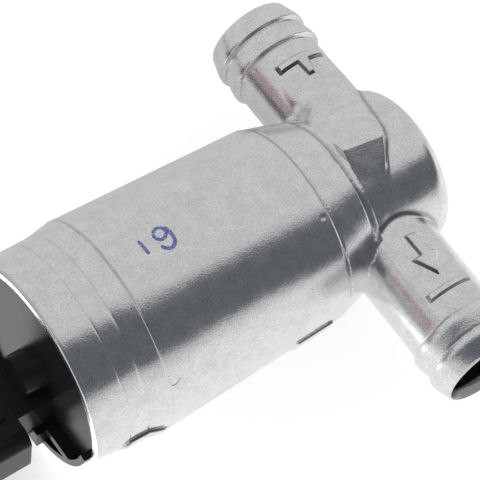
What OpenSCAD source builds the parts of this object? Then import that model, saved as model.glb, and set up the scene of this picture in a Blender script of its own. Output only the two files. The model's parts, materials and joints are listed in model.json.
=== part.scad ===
// Rotary idle air valve: a die-cast housing with two hose spigots, a moulded end cap with its
// socket, and a two-winding actuator that turns a sector slide inside the head.
// The main axis is X, from the socket to the head. Both spigots lie along Y, in the parting plane z = 0.
// Stations along X are counted from the rim of the collar, and the origin is the middle of that collar.

/* [Barrel] */
// Outer radius of the clamp collar
collar_r = 24.1; // [22:0.1:28]
// Length of the clamp collar
collar_len = 12.8; // [11:0.1:20]
// Length of the cone between collar and barrel
flare_len = 5.1; // [3:0.1:10]
// Height of the barrel over the collar
flare_rise = 0.8; // [0.3:0.1:2]
// Length of the plain barrel
barrel_len = 46.8; // [42:0.1:70]
// Radius that the barrel loses by its casting draft
barrel_draft = 1.85; // [0.5:0.05:2.5]
// Wall of the barrel at its thin end
barrel_wall = 1.65; // [1.2:0.05:3]
// Wall of the lip that holds the end cap
lip_wall = 1.1; // [1:0.1:2.5]
// Inward roll of the lip over the end cap
lip_roll = 0.3; // [0.2:0.1:0.5]
// Rounding of the lip's outer edge
lip_round = 0.6; // [0.2:0.1:1]
// Half height of the trimmed lands on the parting plane
land_half = 3.2; // [2:0.1:6]
// Length of the trimmed land on the barrel
land_len = 10.5; // [4:0.5:20]

/* [Shoulder and head] */
// Length of the rounded shoulder
shoulder_len = 9.8; // [7:0.1:14]
// Radius that the shoulder loses
shoulder_drop = 3.2; // [2:0.1:4]
// Depth of the groove where the shoulder starts
shoulder_groove = 0.35; // [0.1:0.05:0.8]
// Width of the flat top of the ridge
ridge_w = 0.7; // [0.4:0.1:2]
// Outer radius of the head
head_r = 18.5; // [17.5:0.1:19]
// Length of the head
head_len = 22.3; // [21:0.1:30]
// Rounding of the head's end
head_round = 3.6; // [1:0.1:6]
// Wall of the head around the chamber
head_wall = 3; // [2:0.1:4]
// Thickness of the head's end wall
end_wall = 3; // [2:0.1:5]
// Height of the hood over the head
hood_rise = 2.9; // [2.3:0.1:3.4]
// Distance from the main axis at which the hood meets the far spigot
hood_reach = 22; // [20:0.5:26]

/* [Spigots] */
// Distance of the far spigot's axis from the ridge
far_offset = 12.4; // [11.5:0.1:12.6]
// Distance of the near spigot's axis from the ridge
near_offset = 6; // [4:0.1:10]
// Reach of the far spigot from the main axis
far_reach = 45.2; // [40:0.1:60]
// Reach of the near spigot from the main axis
near_reach = 51.2; // [42:0.1:65]
// Outer radius of the plain pipe
pipe_r = 10.4; // [9.8:0.1:10.6]
// Radius of the air passage
pipe_bore_r = 8.8; // [7:0.1:9.2]
// Radius over the barbs
barb_r = 11.4; // [11:0.1:13]
// Outer radius at the mouth
mouth_r = 10.2; // [9.9:0.1:10.6]
// Distance from one barb to the next
barb_pitch = 5.4; // [4:0.1:7]
// Length of the land on top of each barb
barb_land = 1.6; // [1.2:0.1:2.4]
// Wall left at the mouth by its countersink
mouth_wall = 0.5; // [0.3:0.1:0.8]

/* [End cap] */
// Thickness of the cap's flange
flange_t = 2.5; // [2:0.1:4]
// Depth of the flange behind the rim
flange_in = 0.9; // [0.5:0.1:2]
// Thickness of the seal ring
seal_t = 1.4; // [1:0.1:2.5]
// Length of the cap's inner skirt
skirt_len = 4.6; // [3:0.1:8]
// Wall of the inner skirt
skirt_wall = 2; // [1.2:0.1:3]
// Radius of the centre boss
boss_r = 4.6; // [4:0.1:6]
// Length of the centre boss
boss_len = 5.2; // [3:0.1:8]
// Height of the cap's edge rib
edge_rib_h = 2.4; // [1:0.1:4]
// Distance of the socket's floor from the rim
neck_len = 8; // [6:0.5:14]
// Height of the neck's web
neck_h = 9; // [6:0.1:9.5]
// Radius of the round strut beside the web
strut_r = 2.5; // [1.5:0.1:3]

/* [Socket] */
// Width of the socket's shroud
socket_w = 25; // [22:0.1:28]
// Height of the socket's shroud
socket_h = 14; // [12:0.1:16]
// Depth of the socket
socket_depth = 19; // [14:0.5:24]
// Wall of the shroud
socket_wall = 1.6; // [1:0.1:2.5]
// Corner radius of the shroud
socket_round = 3; // [2:0.1:4]
// Distance of the socket's middle below the main axis
socket_drop = 10; // [9.6:0.1:11]
// Distance from one blade to the next
blade_pitch = 5; // [4:0.1:5.5]
// Width of a blade
blade_w = 2.8; // [2:0.1:3.2]
// Thickness of a blade
blade_t = 0.8; // [0.5:0.1:1]
// Length of a blade in the socket
blade_len = 12; // [8:0.5:13]

/* [Actuator] */
// Wall of the pole tube
tube_wall = 2.2; // [1.5:0.1:3]
// Thickness of a magnet
magnet_t = 2.9; // [2:0.1:4]
// Angle that a magnet spans
magnet_span = 140; // [100:1:160]
// Air gap between magnets and core
air_gap = 0.5; // [0.4:0.05:1]
// Thickness of a pole shoe
shoe_t = 2.8; // [2:0.1:3.4]
// Angle that a pole shoe spans
shoe_span = 66; // [50:1:74]
// Width of a core's tooth
tooth_w = 6; // [4:0.1:7]
// Width of a coil on each side of its tooth
coil_w = 2.6; // [1.5:0.1:2.8]
// Radius of the shaft
shaft_r = 3; // [2.5:0.1:3.5]
// Thickness of the brush plate
plate_t = 2; // [1.5:0.1:3]
// Radius of the commutator
commutator_r = 7.4; // [7:0.1:8.5]
// Length of the commutator
commutator_len = 6; // [5:0.1:8]
// Thickness of a commutator segment
segment_t = 0.9; // [0.6:0.1:1.2]
// Width of a brush
brush_w = 4; // [3:0.1:5]
// Length of a brush
brush_len = 5.5; // [4:0.1:6.5]

/* [Bearings] */
// Outer radius of the ball bearing
bearing_r = 8.5; // [8:0.1:9]
// Width of the ball bearing
bearing_w = 6; // [5:0.1:7]
// Number of balls
ball_count = 8; // [6:1:8]
// Radius of a ball
ball_r = 1.3; // [1:0.05:1.4]
// Outer radius of the rear bush
bush_r = 5.5; // [5:0.1:6]
// Thickness of the bearing plate
bearing_plate_t = 4; // [3:0.1:5]
// Radius of the bearing plate's hub
bearing_hub_r = 10.6; // [10.4:0.1:11]

/* [Slide] */
// Angle that the slide's sector spans
sector_span = 95; // [85:1:100]
// Angle of the sector's middle above the far spigot when unpowered
sector_rest = 45; // [30:1:60]
// Thickness of the sector's shell
sector_t = 1.8; // [1.2:0.1:3]
// Thickness of the sector's end webs
web_t = 2; // [1.2:0.1:3]
// Radius of the slide's hub
slide_hub_r = 5.4; // [4.5:0.1:6.5]
// Radius of a stop pin
stop_pin_r = 1.5; // [1:0.1:1.8]

/* [Screws] */
// Radius of a screw's shank
screw_r = 1.2; // [1:0.1:1.3]
// Radius of a screw's head
screw_head_r = 2.2; // [1.8:0.1:2.4]
// Height of a screw's head
screw_head_h = 1.6; // [1:0.1:2]

/* [Clearances] */
// Gap between fixed pieces that seat on each other
seat = 0.05; // [0.03:0.01:0.1]
// Radial gap of a shaft in its bush
running = 0.05; // [0.03:0.01:0.08]
// Gap beside pieces that turn past each other
free_gap = 0.3; // [0.25:0.05:0.5]

/* [Hidden] */
$fn = 96;

// Stations of the casting
barrel_x = collar_len + flare_len;
shoulder_x = barrel_x + barrel_len;
ridge_x = shoulder_x + shoulder_len;
head_x = ridge_x + head_len;
far_x = ridge_x + far_offset;
near_x = ridge_x + near_offset;
origin_x = collar_len / 2;
hood_half = 6.4;

// Radii of the casting
barrel_r = collar_r + flare_rise;
barrel_end_r = barrel_r - barrel_draft;
ridge_r = barrel_end_r - shoulder_drop;
cap_seat_r = collar_r - lip_wall;
motor_r = min(barrel_end_r - barrel_wall, cap_seat_r - 0.6);
chamber_r = head_r - head_wall;

// The cap and the brush plate behind it
seal_x = flange_in + flange_t + seat;
cap_step_x = seal_x + seal_t + seat;
skirt_x = flange_in + flange_t + skirt_len;
skirt_r = motor_r - seat - 0.3;
plate_x = skirt_x + seat;
bush_x = flange_in + flange_t - 1;
bush_end = skirt_x - 0.4;
washer_end = bush_end + 0.9;
boss_in_r = bush_r + 1.8;
pillar_r = 2.6;
pillar_at = skirt_r - skirt_wall - pillar_r + 0.6;
blade_z = -socket_drop;
neck_half = blade_pitch + blade_t / 2 + 1.4;
strut_y = -3;
strut_z = -socket_drop - socket_h / 2 + 0.4;

// The motor between the brush plate and the bearing plate
step_back = 2.8;
step_x = shoulder_x - step_back;
bearing_plate_x = step_x - bearing_plate_t - seat;
bearing_x = bearing_plate_x + 1;
bearing_end_x = bearing_x + bearing_w;
commutator_x = plate_x + plate_t + 0.6;
commutator_end = commutator_x + commutator_len;
guide_h = commutator_len - 1.4;
tube_x = commutator_end + 1;
tube_end = bearing_plate_x - screw_head_h - 1;
core_overhang = coil_w + 0.8;
core_x = commutator_end + 1 + core_overhang;
core_end = bearing_plate_x - screw_head_h - core_overhang;
tube_r = motor_r - seat;
magnet_r = tube_r - tube_wall - seat;
core_r = magnet_r - magnet_t - air_gap;
shoe_in = core_r - shoe_t;
coil_half = tooth_w / 2 + coil_w;
coil_top = sqrt(pow(shoe_in, 2) - pow(coil_half, 2)) - 0.15;
core_hub_r = coil_half - 0.1;
coil_base = core_hub_r + 0.4;

// The slide and its chamber
chamber_end = head_x - end_wall;
slide_x = bearing_end_x + 2.6;
slide_end = chamber_end - free_gap;
slide_r = chamber_r - free_gap;
bore_start = sqrt(pow(chamber_r, 2) - pow(pipe_bore_r, 2)) - 1;
stop_at = (bearing_hub_r + slide_r) / 2;
stop_turn = sector_span / 2 + asin((stop_pin_r + free_gap) / stop_at);
shaft_x = bush_x + 0.6;
shaft_end = slide_end - 2;
plate_screw_at = (motor_r + chamber_r) / 2;
screw_depth = 5;

module from_rim() {
    translate([-origin_x, 0, 0]) children();
}

// A round body about X: points are [radius, station]
module turned(points) {
    rotate([90, 0, 90]) rotate_extrude() polygon(points);
}

// A ring or disc about X from one station to another
module ring(x0, x1, outer, inner = 0) {
    translate([x0, 0, 0]) rotate([0, 90, 0]) difference() {
        cylinder(r = outer, h = x1 - x0);
        if (inner > 0) translate([0, 0, -1]) cylinder(r = inner, h = x1 - x0 + 2);
    }
}

// Part of a ring about X, with its middle turned from +Y towards +Z
module sector(x0, x1, outer, inner, span, middle) {
    translate([x0, 0, 0]) rotate([middle - span / 2, 0, 0]) rotate([90, 0, 90])
        rotate_extrude(angle = span) translate([inner, 0]) square([outer - inner, x1 - x0]);
}

// Places its children at a radius and an angle from +Y towards +Z, with their own +Y pointing outwards
module around(angle, radius = 0) {
    rotate([angle, 0, 0]) translate([0, radius, 0]) children();
}

// Points of an arc, as [radius or x, station or y]
function arc(cx, cy, r, from, to, steps = 8) =
    [for (i = [0:steps]) let (a = from + (to - from) * i / steps) [cx + r * cos(a), cy + r * sin(a)]];

// Points of the shoulder's convex curve, steeper towards the ridge
function shoulder_curve(steps = 8) =
    [for (i = [0:steps]) let (t = i / steps)
        [barrel_end_r - shoulder_groove - (shoulder_drop - shoulder_groove) * (0.55 * t + 0.45 * t * t),
        shoulder_x + 0.5 + (shoulder_len - 0.5 - ridge_w) * t]];

module rounded_plate(w, h, r) {
    square([w - 2 * r, h], center = true);
    square([w, h - 2 * r], center = true);
    for (sx = [-1, 1], sy = [-1, 1]) translate([sx * (w / 2 - r), sy * (h / 2 - r)]) circle(r = r, $fn = 32);
}

// The casting's outside from rim to head, as one turned form
module barrel_form() {
    turned(concat(
        [[0, 0]],
        arc(collar_r - lip_round, lip_round, lip_round, -90, 0, 4),
        [[collar_r, collar_len], [barrel_r, barrel_x], [barrel_end_r, shoulder_x]],
        shoulder_curve(),
        [[ridge_r, ridge_x], [head_r, ridge_x + 0.4]],
        arc(head_r - head_round, head_x - head_round, head_round, 0, 90, 8),
        [[0, head_x]]));
}

// A spigot along +Y, with saw-tooth barbs that grow away from its mouth
module spigot_form(reach) {
    rise = barb_r - mouth_r;
    neck_r = mouth_r + rise * 0.35;
    rotate([-90, 0, 0]) rotate_extrude() polygon([
        [0, 0], [pipe_r, 0], [pipe_r, reach - 2 * barb_pitch - 0.5],
        [barb_r, reach - 2 * barb_pitch], [barb_r, reach - 2 * barb_pitch + barb_land],
        [neck_r, reach - barb_pitch - 0.4],
        [barb_r, reach - barb_pitch], [barb_r, reach - barb_pitch + barb_land],
        [mouth_r, reach - 0.3], [mouth_r - 0.3, reach], [0, reach]]);
}

module spigot_bore(reach, start) {
    flare = mouth_r - mouth_wall - pipe_bore_r;
    rotate([-90, 0, 0]) rotate_extrude() polygon([
        [0, start], [pipe_bore_r, start], [pipe_bore_r, reach - 2.2],
        [pipe_bore_r + flare, reach], [pipe_bore_r + flare, reach + 1], [0, reach + 1]]);
}

// The hood: a flat-topped fairing that carries the far spigot over the head
module hood_side(top) {
    crease = -0.4;
    front = 12.4;
    bend = 7.8;
    fall = (top - pipe_r) / (hood_reach - crease);
    tail = hood_reach + (pipe_r - sqrt(pow(pipe_r, 2) - pow(hood_half, 2))) / fall + 1;
    bend_z = top - 0.53 * (bend + crease);
    front_z = sqrt(pow(head_r, 2) - pow(front, 2)) - 0.5;
    polygon(concat(
        [[-front, 0], [tail, 0], [tail, top - fall * (tail - crease)], [crease, top]],
        [for (i = [0:4]) let (t = i / 4)
            [-bend - (front - bend) * t, bend_z - (bend_z - front_z) * (0.6 * t + 0.4 * t * t)]]));
}

module hood_plan() {
    polygon([[ridge_x + 1, -16], [ridge_x + 5, -14.5], [far_x - 4.7, -11.1], [far_x - 0.3, -4.4],
        [far_x + 0.9, 1], [far_x + 4.4, 12.5], [far_x + hood_half, hood_reach], [far_x + hood_half, hood_reach + 12],
        [far_x - hood_half, hood_reach + 12], [far_x - hood_half, hood_reach], [ridge_x + 1, 3]]);
}

module hood_form() {
    for (side = [0, 1]) mirror([0, 0, side]) intersection() {
        translate([ridge_x - 4, 0, 0]) rotate([90, 0, 90]) linear_extrude(head_len + 6) hood_side(head_r + hood_rise);
        translate([0, 0, -1]) linear_extrude(head_r + 6) hood_plan();
    }
}

// Lands that are left on the parting plane where the gates were trimmed
module parting_lands() {
    depth = 4;
    for (side = [-1, 1]) {
        translate([collar_len, side > 0 ? barrel_r - depth : -barrel_r, -land_half])
            cube([flare_len, depth, 2 * land_half]);
    }
    land_r = barrel_r - barrel_draft * 0.75 + 0.35;
    translate([shoulder_x - 14, -land_r, -land_half]) cube([land_len, depth / 2, 2 * land_half]);
}

module housing() {
    color("lightgray") from_rim() difference() {
        union() {
            barrel_form();
            hood_form();
            parting_lands();
            translate([far_x, 0, 0]) spigot_form(far_reach);
            translate([near_x, 0, 0]) mirror([0, 1, 0]) spigot_form(near_reach);
        }
        ring(-1, flange_in, cap_seat_r - lip_roll);
        ring(flange_in - seat, cap_step_x, cap_seat_r);
        ring(cap_step_x - 1, step_x, motor_r);
        ring(step_x - 1, chamber_end, chamber_r);
        translate([far_x, 0, 0]) spigot_bore(far_reach, bore_start);
        translate([near_x, 0, 0]) mirror([0, 1, 0]) spigot_bore(near_reach, bore_start);
        for (i = [0:2]) around(90 + 120 * i, plate_screw_at)
            ring(step_x - 1, step_x + screw_depth, screw_r + seat);
    }
}

// The socket's outline, seen along X, with +Y of the outline along +Z
module socket_outline(shrink) {
    translate([0, -socket_drop]) rounded_plate(socket_w - 2 * shrink, socket_h - 2 * shrink, socket_round - shrink);
}

// Extrudes an outline in Y and Z from one station to another
module along(x0, x1) {
    translate([x0, 0, 0]) rotate([90, 0, 90]) linear_extrude(x1 - x0) children();
}

function blade_y(i) = (i - 1) * blade_pitch;

module blade_slots() {
    for (i = [0:2]) along(-neck_len - 3, plate_x + plate_t + 1) translate([blade_y(i), blade_z])
        square([blade_t + 2 * seat, blade_w + 2 * seat], center = true);
}

module end_cap() {
    flange_r = cap_seat_r - seat;
    floor_t = 2;
    color([0.09, 0.09, 0.1]) from_rim() difference() {
        union() {
            ring(flange_in, flange_in + flange_t, flange_r);
            ring(flange_in + flange_t - 1, skirt_x, skirt_r, skirt_r - skirt_wall);
            ring(flange_in - boss_len, flange_in + 1, boss_r);
            ring(bush_x, bush_end, boss_in_r);
            sector(flange_in - edge_rib_h, flange_in + 1, flange_r - lip_roll - 0.3, flange_r - 2.2, 110, -115);
            for (turn = [0, 180]) around(turn, pillar_at) ring(flange_in + 1, skirt_x, pillar_r);
            along(-neck_len - 1, flange_in + 1) translate([-neck_half, blade_z - blade_w / 2 - 1.2])
                square([2 * neck_half, neck_h]);
            along(-neck_len - 1, flange_in + 1) translate([strut_y, strut_z]) circle(r = strut_r);
            along(-3.6, flange_in + 1) translate([strut_y - 5, strut_z - 2.5]) square([7, 5]);
            along(-1.5, flange_in + 1) translate([-16.5, strut_z + 2]) square([10, 2]);
            along(-neck_len - socket_depth, -neck_len) difference() {
                socket_outline(0);
                socket_outline(socket_wall);
            }
            along(-neck_len - floor_t, -neck_len) socket_outline(0);
            for (side = [-1, 1]) along(-neck_len - socket_depth + 4, -neck_len - floor_t)
                translate([side * 5 - 0.7, blade_z + socket_h / 2 - 0.5]) square([1.4, 1.6]);
        }
        blade_slots();
        ring(bush_x + 0.1, skirt_x + 1, bush_r + seat);
        for (turn = [0, 180]) around(turn, pillar_at)
            ring(flange_in + flange_t, skirt_x + 1, screw_r + seat);
    }
}

module seal_ring() {
    color([0.12, 0.12, 0.12]) from_rim() ring(seal_x, seal_x + seal_t, cap_seat_r - seat, skirt_r + seat);
}

// A blade, with the foot that lies on the brush plate
module terminal(i) {
    foot_x = plate_x + plate_t + seat;
    foot_len = 3;
    foot_t = 0.6;
    color([0.8, 0.68, 0.35]) from_rim() {
        along(-neck_len - 2 - blade_len, foot_x + foot_t) translate([blade_y(i), blade_z])
            square([blade_t, blade_w], center = true);
        along(foot_x, foot_x + foot_t) translate([blade_y(i) - blade_t / 2, blade_z - blade_w / 2])
            square([foot_len, blade_w]);
    }
}

module terminal_1() {
    terminal(0);
}

module terminal_2() {
    terminal(1);
}

module terminal_3() {
    terminal(2);
}

// Angle of a brush, from +Y towards +Z
function brush_turn(i) = 90 + 120 * i;

brush_in = commutator_r + free_gap;
brush_out = brush_in + brush_len;
brush_h = guide_h - 0.2;
guide_t = 1;

module brush_plate() {
    top_x = plate_x + plate_t;
    color([0.55, 0.3, 0.16]) from_rim() difference() {
        union() {
            ring(plate_x, top_x, skirt_r);
            for (i = [0:2], side = [-1, 1]) around(brush_turn(i))
                translate([top_x - 0.5, brush_in + 0.6, side * (brush_w / 2 + seat + guide_t / 2) - guide_t / 2])
                    cube([guide_h + 0.5, brush_len - 0.6, guide_t]);
        }
        ring(plate_x - 1, top_x + 1, commutator_r + free_gap);
        blade_slots();
        for (turn = [0, 180]) around(turn, pillar_at) ring(plate_x - 1, top_x + 1, screw_r + seat);
    }
}

module brush(i) {
    color([0.2, 0.19, 0.19]) from_rim() around(brush_turn(i))
        translate([plate_x + plate_t + seat, brush_in, -brush_w / 2]) cube([brush_h, brush_len, brush_w]);
}

module brush_1() {
    brush(0);
}

module brush_2() {
    brush(1);
}

module brush_3() {
    brush(2);
}

// A bent leaf: its foot on the plate, its back against the brush
module brush_spring(i) {
    leaf_t = 0.4;
    foot_len = 3;
    width = brush_w - 1;
    foot_x = plate_x + plate_t + seat;
    back = brush_out + seat;
    color([0.75, 0.76, 0.78]) from_rim() around(brush_turn(i)) {
        translate([foot_x, back, -width / 2]) cube([leaf_t, foot_len, width]);
        translate([foot_x, back, -width / 2]) cube([brush_h, leaf_t, width]);
        translate([foot_x + brush_h - leaf_t, back, -width / 2]) cube([leaf_t, foot_len / 2, width]);
    }
}

module brush_spring_1() {
    brush_spring(0);
}

module brush_spring_2() {
    brush_spring(1);
}

module brush_spring_3() {
    brush_spring(2);
}

// A screw along X whose head's underside is at one station and whose tip is at the other
module screw(head_at, tip) {
    way = sign(tip - head_at);
    slot_w = 0.6;
    slot_depth = 0.7;
    head_end = head_at - way * screw_head_h;
    difference() {
        union() {
            ring(min(head_at, head_end), max(head_at, head_end), screw_head_r);
            ring(min(head_end, tip), max(head_end, tip), screw_r);
        }
        translate([head_end - slot_depth, -screw_head_r - 1, -slot_w / 2])
            cube([2 * slot_depth, 2 * screw_head_r + 2, slot_w]);
    }
}

module brush_plate_screws() {
    color("silver") from_rim() for (turn = [0, 180]) around(turn, pillar_at)
        screw(plate_x + plate_t + seat, flange_in + flange_t + 0.5);
}

module rear_bush() {
    color([0.6, 0.45, 0.25]) from_rim() ring(bush_x + 0.15, bush_end, bush_r, shaft_r + running);
}

module thrust_washer() {
    color([0.8, 0.8, 0.8]) from_rim() ring(bush_end + seat, washer_end - seat, bush_r - 0.2, shaft_r + seat);
}

module pole_tube() {
    color([0.45, 0.46, 0.48]) from_rim() ring(tube_x, tube_end, tube_r, tube_r - tube_wall);
}

module magnet(middle) {
    color([0.25, 0.25, 0.27]) from_rim()
        sector(tube_x + 0.6, tube_end - 0.6, magnet_r, magnet_r - magnet_t, magnet_span, middle);
}

module magnet_a() {
    magnet(90);
}

module magnet_b() {
    magnet(-90);
}

module bearing_plate() {
    color([0.7, 0.71, 0.73]) from_rim() difference() {
        union() {
            ring(bearing_plate_x, step_x - seat, motor_r - seat);
            ring(bearing_plate_x, bearing_end_x, bearing_hub_r);
        }
        ring(bearing_x - seat, bearing_end_x + 1, bearing_r + seat);
        ring(bearing_plate_x - 1, bearing_x, bearing_r - 1.4);
        for (i = [0:2]) around(90 + 120 * i, plate_screw_at)
            ring(bearing_plate_x - 1, step_x + 1, screw_r + seat);
        for (turn = [-stop_turn, 90 + stop_turn]) around(turn, stop_at)
            ring(bearing_plate_x + 1, step_x + 1, stop_pin_r + seat);
    }
}

module bearing_plate_screws() {
    color("silver") from_rim() for (i = [0:2]) around(90 + 120 * i, plate_screw_at)
        screw(bearing_plate_x - seat, step_x + screw_depth - 0.5);
}

// The ball bearing's sizes between its two races
ball_at = (bearing_r + shaft_r) / 2;
ball_gap = 0.12;
race_half = ball_r * 0.5;
bearing_mid = bearing_x + bearing_w / 2;

module ball_track() {
    translate([bearing_mid, 0, 0]) rotate([0, 90, 0]) rotate_extrude()
        translate([ball_at, 0]) circle(r = ball_r + ball_gap, $fn = 32);
}

module bearing_outer_race() {
    color("silver") from_rim() difference() {
        ring(bearing_x, bearing_end_x, bearing_r, ball_at + race_half);
        ball_track();
    }
}

module bearing_inner_race() {
    color("silver") from_rim() difference() {
        ring(bearing_x, bearing_end_x, ball_at - race_half, shaft_r + seat);
        ball_track();
    }
}

module bearing_balls() {
    color("gainsboro") from_rim() for (i = [0:ball_count - 1]) around(360 * i / ball_count, ball_at)
        translate([bearing_mid, 0, 0]) sphere(r = ball_r, $fn = 24);
}

module bearing_cage() {
    cage_half = ball_r + 0.6;
    cage_gap = 0.2;
    color([0.7, 0.55, 0.3]) from_rim() difference() {
        ring(bearing_mid - cage_half, bearing_mid + cage_half, ball_at + race_half - cage_gap,
            ball_at - race_half + cage_gap);
        for (i = [0:ball_count - 1]) around(360 * i / ball_count, ball_at - 3)
            translate([bearing_mid, 0, 0]) rotate([-90, 0, 0]) cylinder(r = ball_r + ball_gap, h = 6, $fn = 32);
    }
}

// The circlip on the shaft beside the bearing
clip_x = bearing_end_x + 0.4;
clip_t = 0.8;
clip_depth = 0.4;

module shaft() {
    chamfer = 0.4;
    groove_r = shaft_r - clip_depth;
    color([0.75, 0.76, 0.78]) from_rim() turned([
        [0, shaft_x], [shaft_r - chamfer, shaft_x], [shaft_r, shaft_x + chamfer],
        [shaft_r, clip_x - seat], [groove_r, clip_x - seat], [groove_r, clip_x + clip_t + seat],
        [shaft_r, clip_x + clip_t + seat], [shaft_r, shaft_end - chamfer],
        [shaft_r - chamfer, shaft_end], [0, shaft_end]]);
}

module circlip() {
    ears = 50;
    color([0.35, 0.35, 0.37]) from_rim()
        sector(clip_x, clip_x + clip_t, shaft_r + 1.6, shaft_r - clip_depth + seat, 360 - ears, 180);
}

module core_outline() {
    circle(r = core_hub_r);
    square([2 * shoe_in + 1, tooth_w], center = true);
    square([tooth_w, 2 * shoe_in + 1], center = true);
    reach = 2 * core_r;
    half = shoe_span / 2;
    for (i = [0:3]) rotate(90 * i) intersection() {
        difference() {
            circle(r = core_r);
            circle(r = shoe_in);
        }
        polygon([[0, 0], [reach * cos(half), -reach * sin(half)], [reach * cos(half), reach * sin(half)]]);
    }
}

module armature_core() {
    color([0.42, 0.42, 0.44]) from_rim() along(core_x, core_end) difference() {
        core_outline();
        circle(r = shaft_r + seat);
    }
}

// The two coils of one winding, each around its own tooth
module winding(first) {
    gap = 0.1;
    length = core_end - core_x + 2 * gap;
    color([0.72, 0.38, 0.16]) from_rim() for (turn = [first, first + 180]) around(turn)
        translate([(core_x + core_end) / 2, coil_base, 0]) rotate([-90, 0, 0])
            linear_extrude(coil_top - coil_base) difference() {
                rounded_plate(length + 2 * coil_w, tooth_w + 2 * coil_w, coil_w * 0.8);
                square([length, tooth_w + 2 * gap], center = true);
            }
}

module winding_open() {
    winding(0);
}

module winding_close() {
    winding(90);
}

module commutator_hub() {
    color([0.3, 0.16, 0.1]) from_rim() {
        ring(commutator_x, commutator_end, commutator_r - segment_t - seat, shaft_r + seat);
        ring(washer_end, commutator_x, shaft_r + 1.6, shaft_r + seat);
        ring(commutator_end, core_x - seat, shaft_r + 1.6, shaft_r + seat);
    }
}

module commutator_segments() {
    segment_span = 112;
    color([0.75, 0.45, 0.25]) from_rim() for (i = [0:2])
        sector(commutator_x, commutator_end, commutator_r, commutator_r - segment_t, segment_span, 120 * i + 30);
}

module spacer_sleeve() {
    color([0.6, 0.61, 0.63]) from_rim()
        ring(core_end + seat, bearing_x - seat, shaft_r + 1.4, shaft_r + seat);
}

module rotary_slide() {
    color([0.62, 0.63, 0.65]) from_rim() difference() {
        union() {
            sector(slide_x, slide_end, slide_r, slide_r - sector_t, sector_span, sector_rest);
            for (x = [slide_x, slide_end - web_t])
                sector(x, x + web_t, slide_r - sector_t / 2, slide_hub_r / 2 + 1, sector_span, sector_rest);
            ring(slide_x, slide_end, slide_hub_r);
        }
        ring(slide_x - 1, shaft_end + seat, shaft_r + seat);
    }
}

module stop_pin(turn) {
    color("silver") from_rim() around(turn, stop_at)
        ring(bearing_plate_x + 1 + seat, slide_x + web_t, stop_pin_r);
}

module stop_pin_closed() {
    stop_pin(-stop_turn);
}

module stop_pin_open() {
    stop_pin(90 + stop_turn);
}

housing();
end_cap();
seal_ring();
terminal_1();
terminal_2();
terminal_3();
brush_plate();
brush_1();
brush_2();
brush_3();
brush_spring_1();
brush_spring_2();
brush_spring_3();
brush_plate_screws();
rear_bush();
thrust_washer();
pole_tube();
magnet_a();
magnet_b();
bearing_plate();
bearing_plate_screws();
bearing_outer_race();
bearing_inner_race();
bearing_balls();
bearing_cage();
shaft();
armature_core();
winding_open();
winding_close();
commutator_hub();
commutator_segments();
spacer_sleeve();
circlip();
rotary_slide();
stop_pin_closed();
stop_pin_open();
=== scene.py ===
"""Dresses the idle air valve: the casting, its cap, the finishes and the studio around it."""

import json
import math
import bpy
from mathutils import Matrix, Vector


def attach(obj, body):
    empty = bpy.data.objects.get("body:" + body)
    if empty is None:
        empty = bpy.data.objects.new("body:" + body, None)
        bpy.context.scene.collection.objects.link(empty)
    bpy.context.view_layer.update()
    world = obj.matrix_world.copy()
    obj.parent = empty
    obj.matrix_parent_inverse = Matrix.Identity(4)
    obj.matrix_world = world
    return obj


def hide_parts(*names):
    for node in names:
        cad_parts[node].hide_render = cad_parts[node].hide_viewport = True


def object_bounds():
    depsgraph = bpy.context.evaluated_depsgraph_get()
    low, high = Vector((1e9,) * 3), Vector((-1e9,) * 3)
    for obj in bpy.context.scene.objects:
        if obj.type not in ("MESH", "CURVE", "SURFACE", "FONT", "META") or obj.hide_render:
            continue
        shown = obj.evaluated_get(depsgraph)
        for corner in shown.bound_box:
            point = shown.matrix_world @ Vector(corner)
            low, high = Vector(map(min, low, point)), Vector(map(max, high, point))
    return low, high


bl_info = {
    "name": "Idle air valve",
    "version": (1, 0, 0),
    "blender": (4, 5, 0),
    "location": "View3D > Sidebar > Valve",
    "description": "Builds the visible skin of a rotary idle air valve over its solid model",
    "category": "Object",
}

import bmesh
import bpy
import numpy as np
import openvdb
from mathutils import Matrix, Vector

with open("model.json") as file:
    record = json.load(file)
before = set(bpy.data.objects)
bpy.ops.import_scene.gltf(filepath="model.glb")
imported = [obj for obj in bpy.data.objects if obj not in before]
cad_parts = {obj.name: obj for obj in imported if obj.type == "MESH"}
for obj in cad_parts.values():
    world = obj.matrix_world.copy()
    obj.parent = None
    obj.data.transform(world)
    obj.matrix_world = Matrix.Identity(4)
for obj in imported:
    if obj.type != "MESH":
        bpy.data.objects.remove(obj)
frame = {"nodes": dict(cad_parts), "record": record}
solid_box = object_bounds()

# Sizes of the casting in millimetres. Stations along X are counted from the collar's rim.
RIM_TO_ORIGIN = 6.4
COLLAR_R, RIM_LINE, RING_1, RING_2, RING_3 = 24.1, 0.35, 8.3, 12.76, 18.0
FLARE_END, BARREL_R = 17.9, 24.9
SHOULDER, SHOULDER_R = 64.7, 23.05
JOIN, JOIN_R, BARREL_END = 65.2, 22.72, 65.25
CONE_END, RIDGE_START, RIDGE_END, RIDGE_R = 74.2, 73.0, 75.85, 19.8
GROOVE_X, GROOVE_R = 74.35, 0.3
HEAD_R, HEAD_START, HEAD_END, HEAD_ROUNDING = 18.5, 70, 96.8, 4.6
FAR_X, FAR_REACH = 86.9, 45.2
NEAR_X, NEAR_REACH = 80.5, 51.2
PIPE_R, BARB_R, MOUTH_R, BORE_R, BARB_PITCH = 10.4, 11.4, 10.2, 8.8, 5.4
FAR_CUT, NEAR_CUT, CUT_OVERLAP = 33.7, 39.7, 0.6
CHAMBER_R, CHAMBER_START, CHAMBER_END, PASSAGE_START = 15.5, 60, 93.8, 11.7
MOTOR_R, MOTOR_END, SEAT_R, SEAT_DEPTH = 21.4, 61.9, 23.0, 4.9
LIP_R, LIP_DEPTH = 22.1, 0.9

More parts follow.
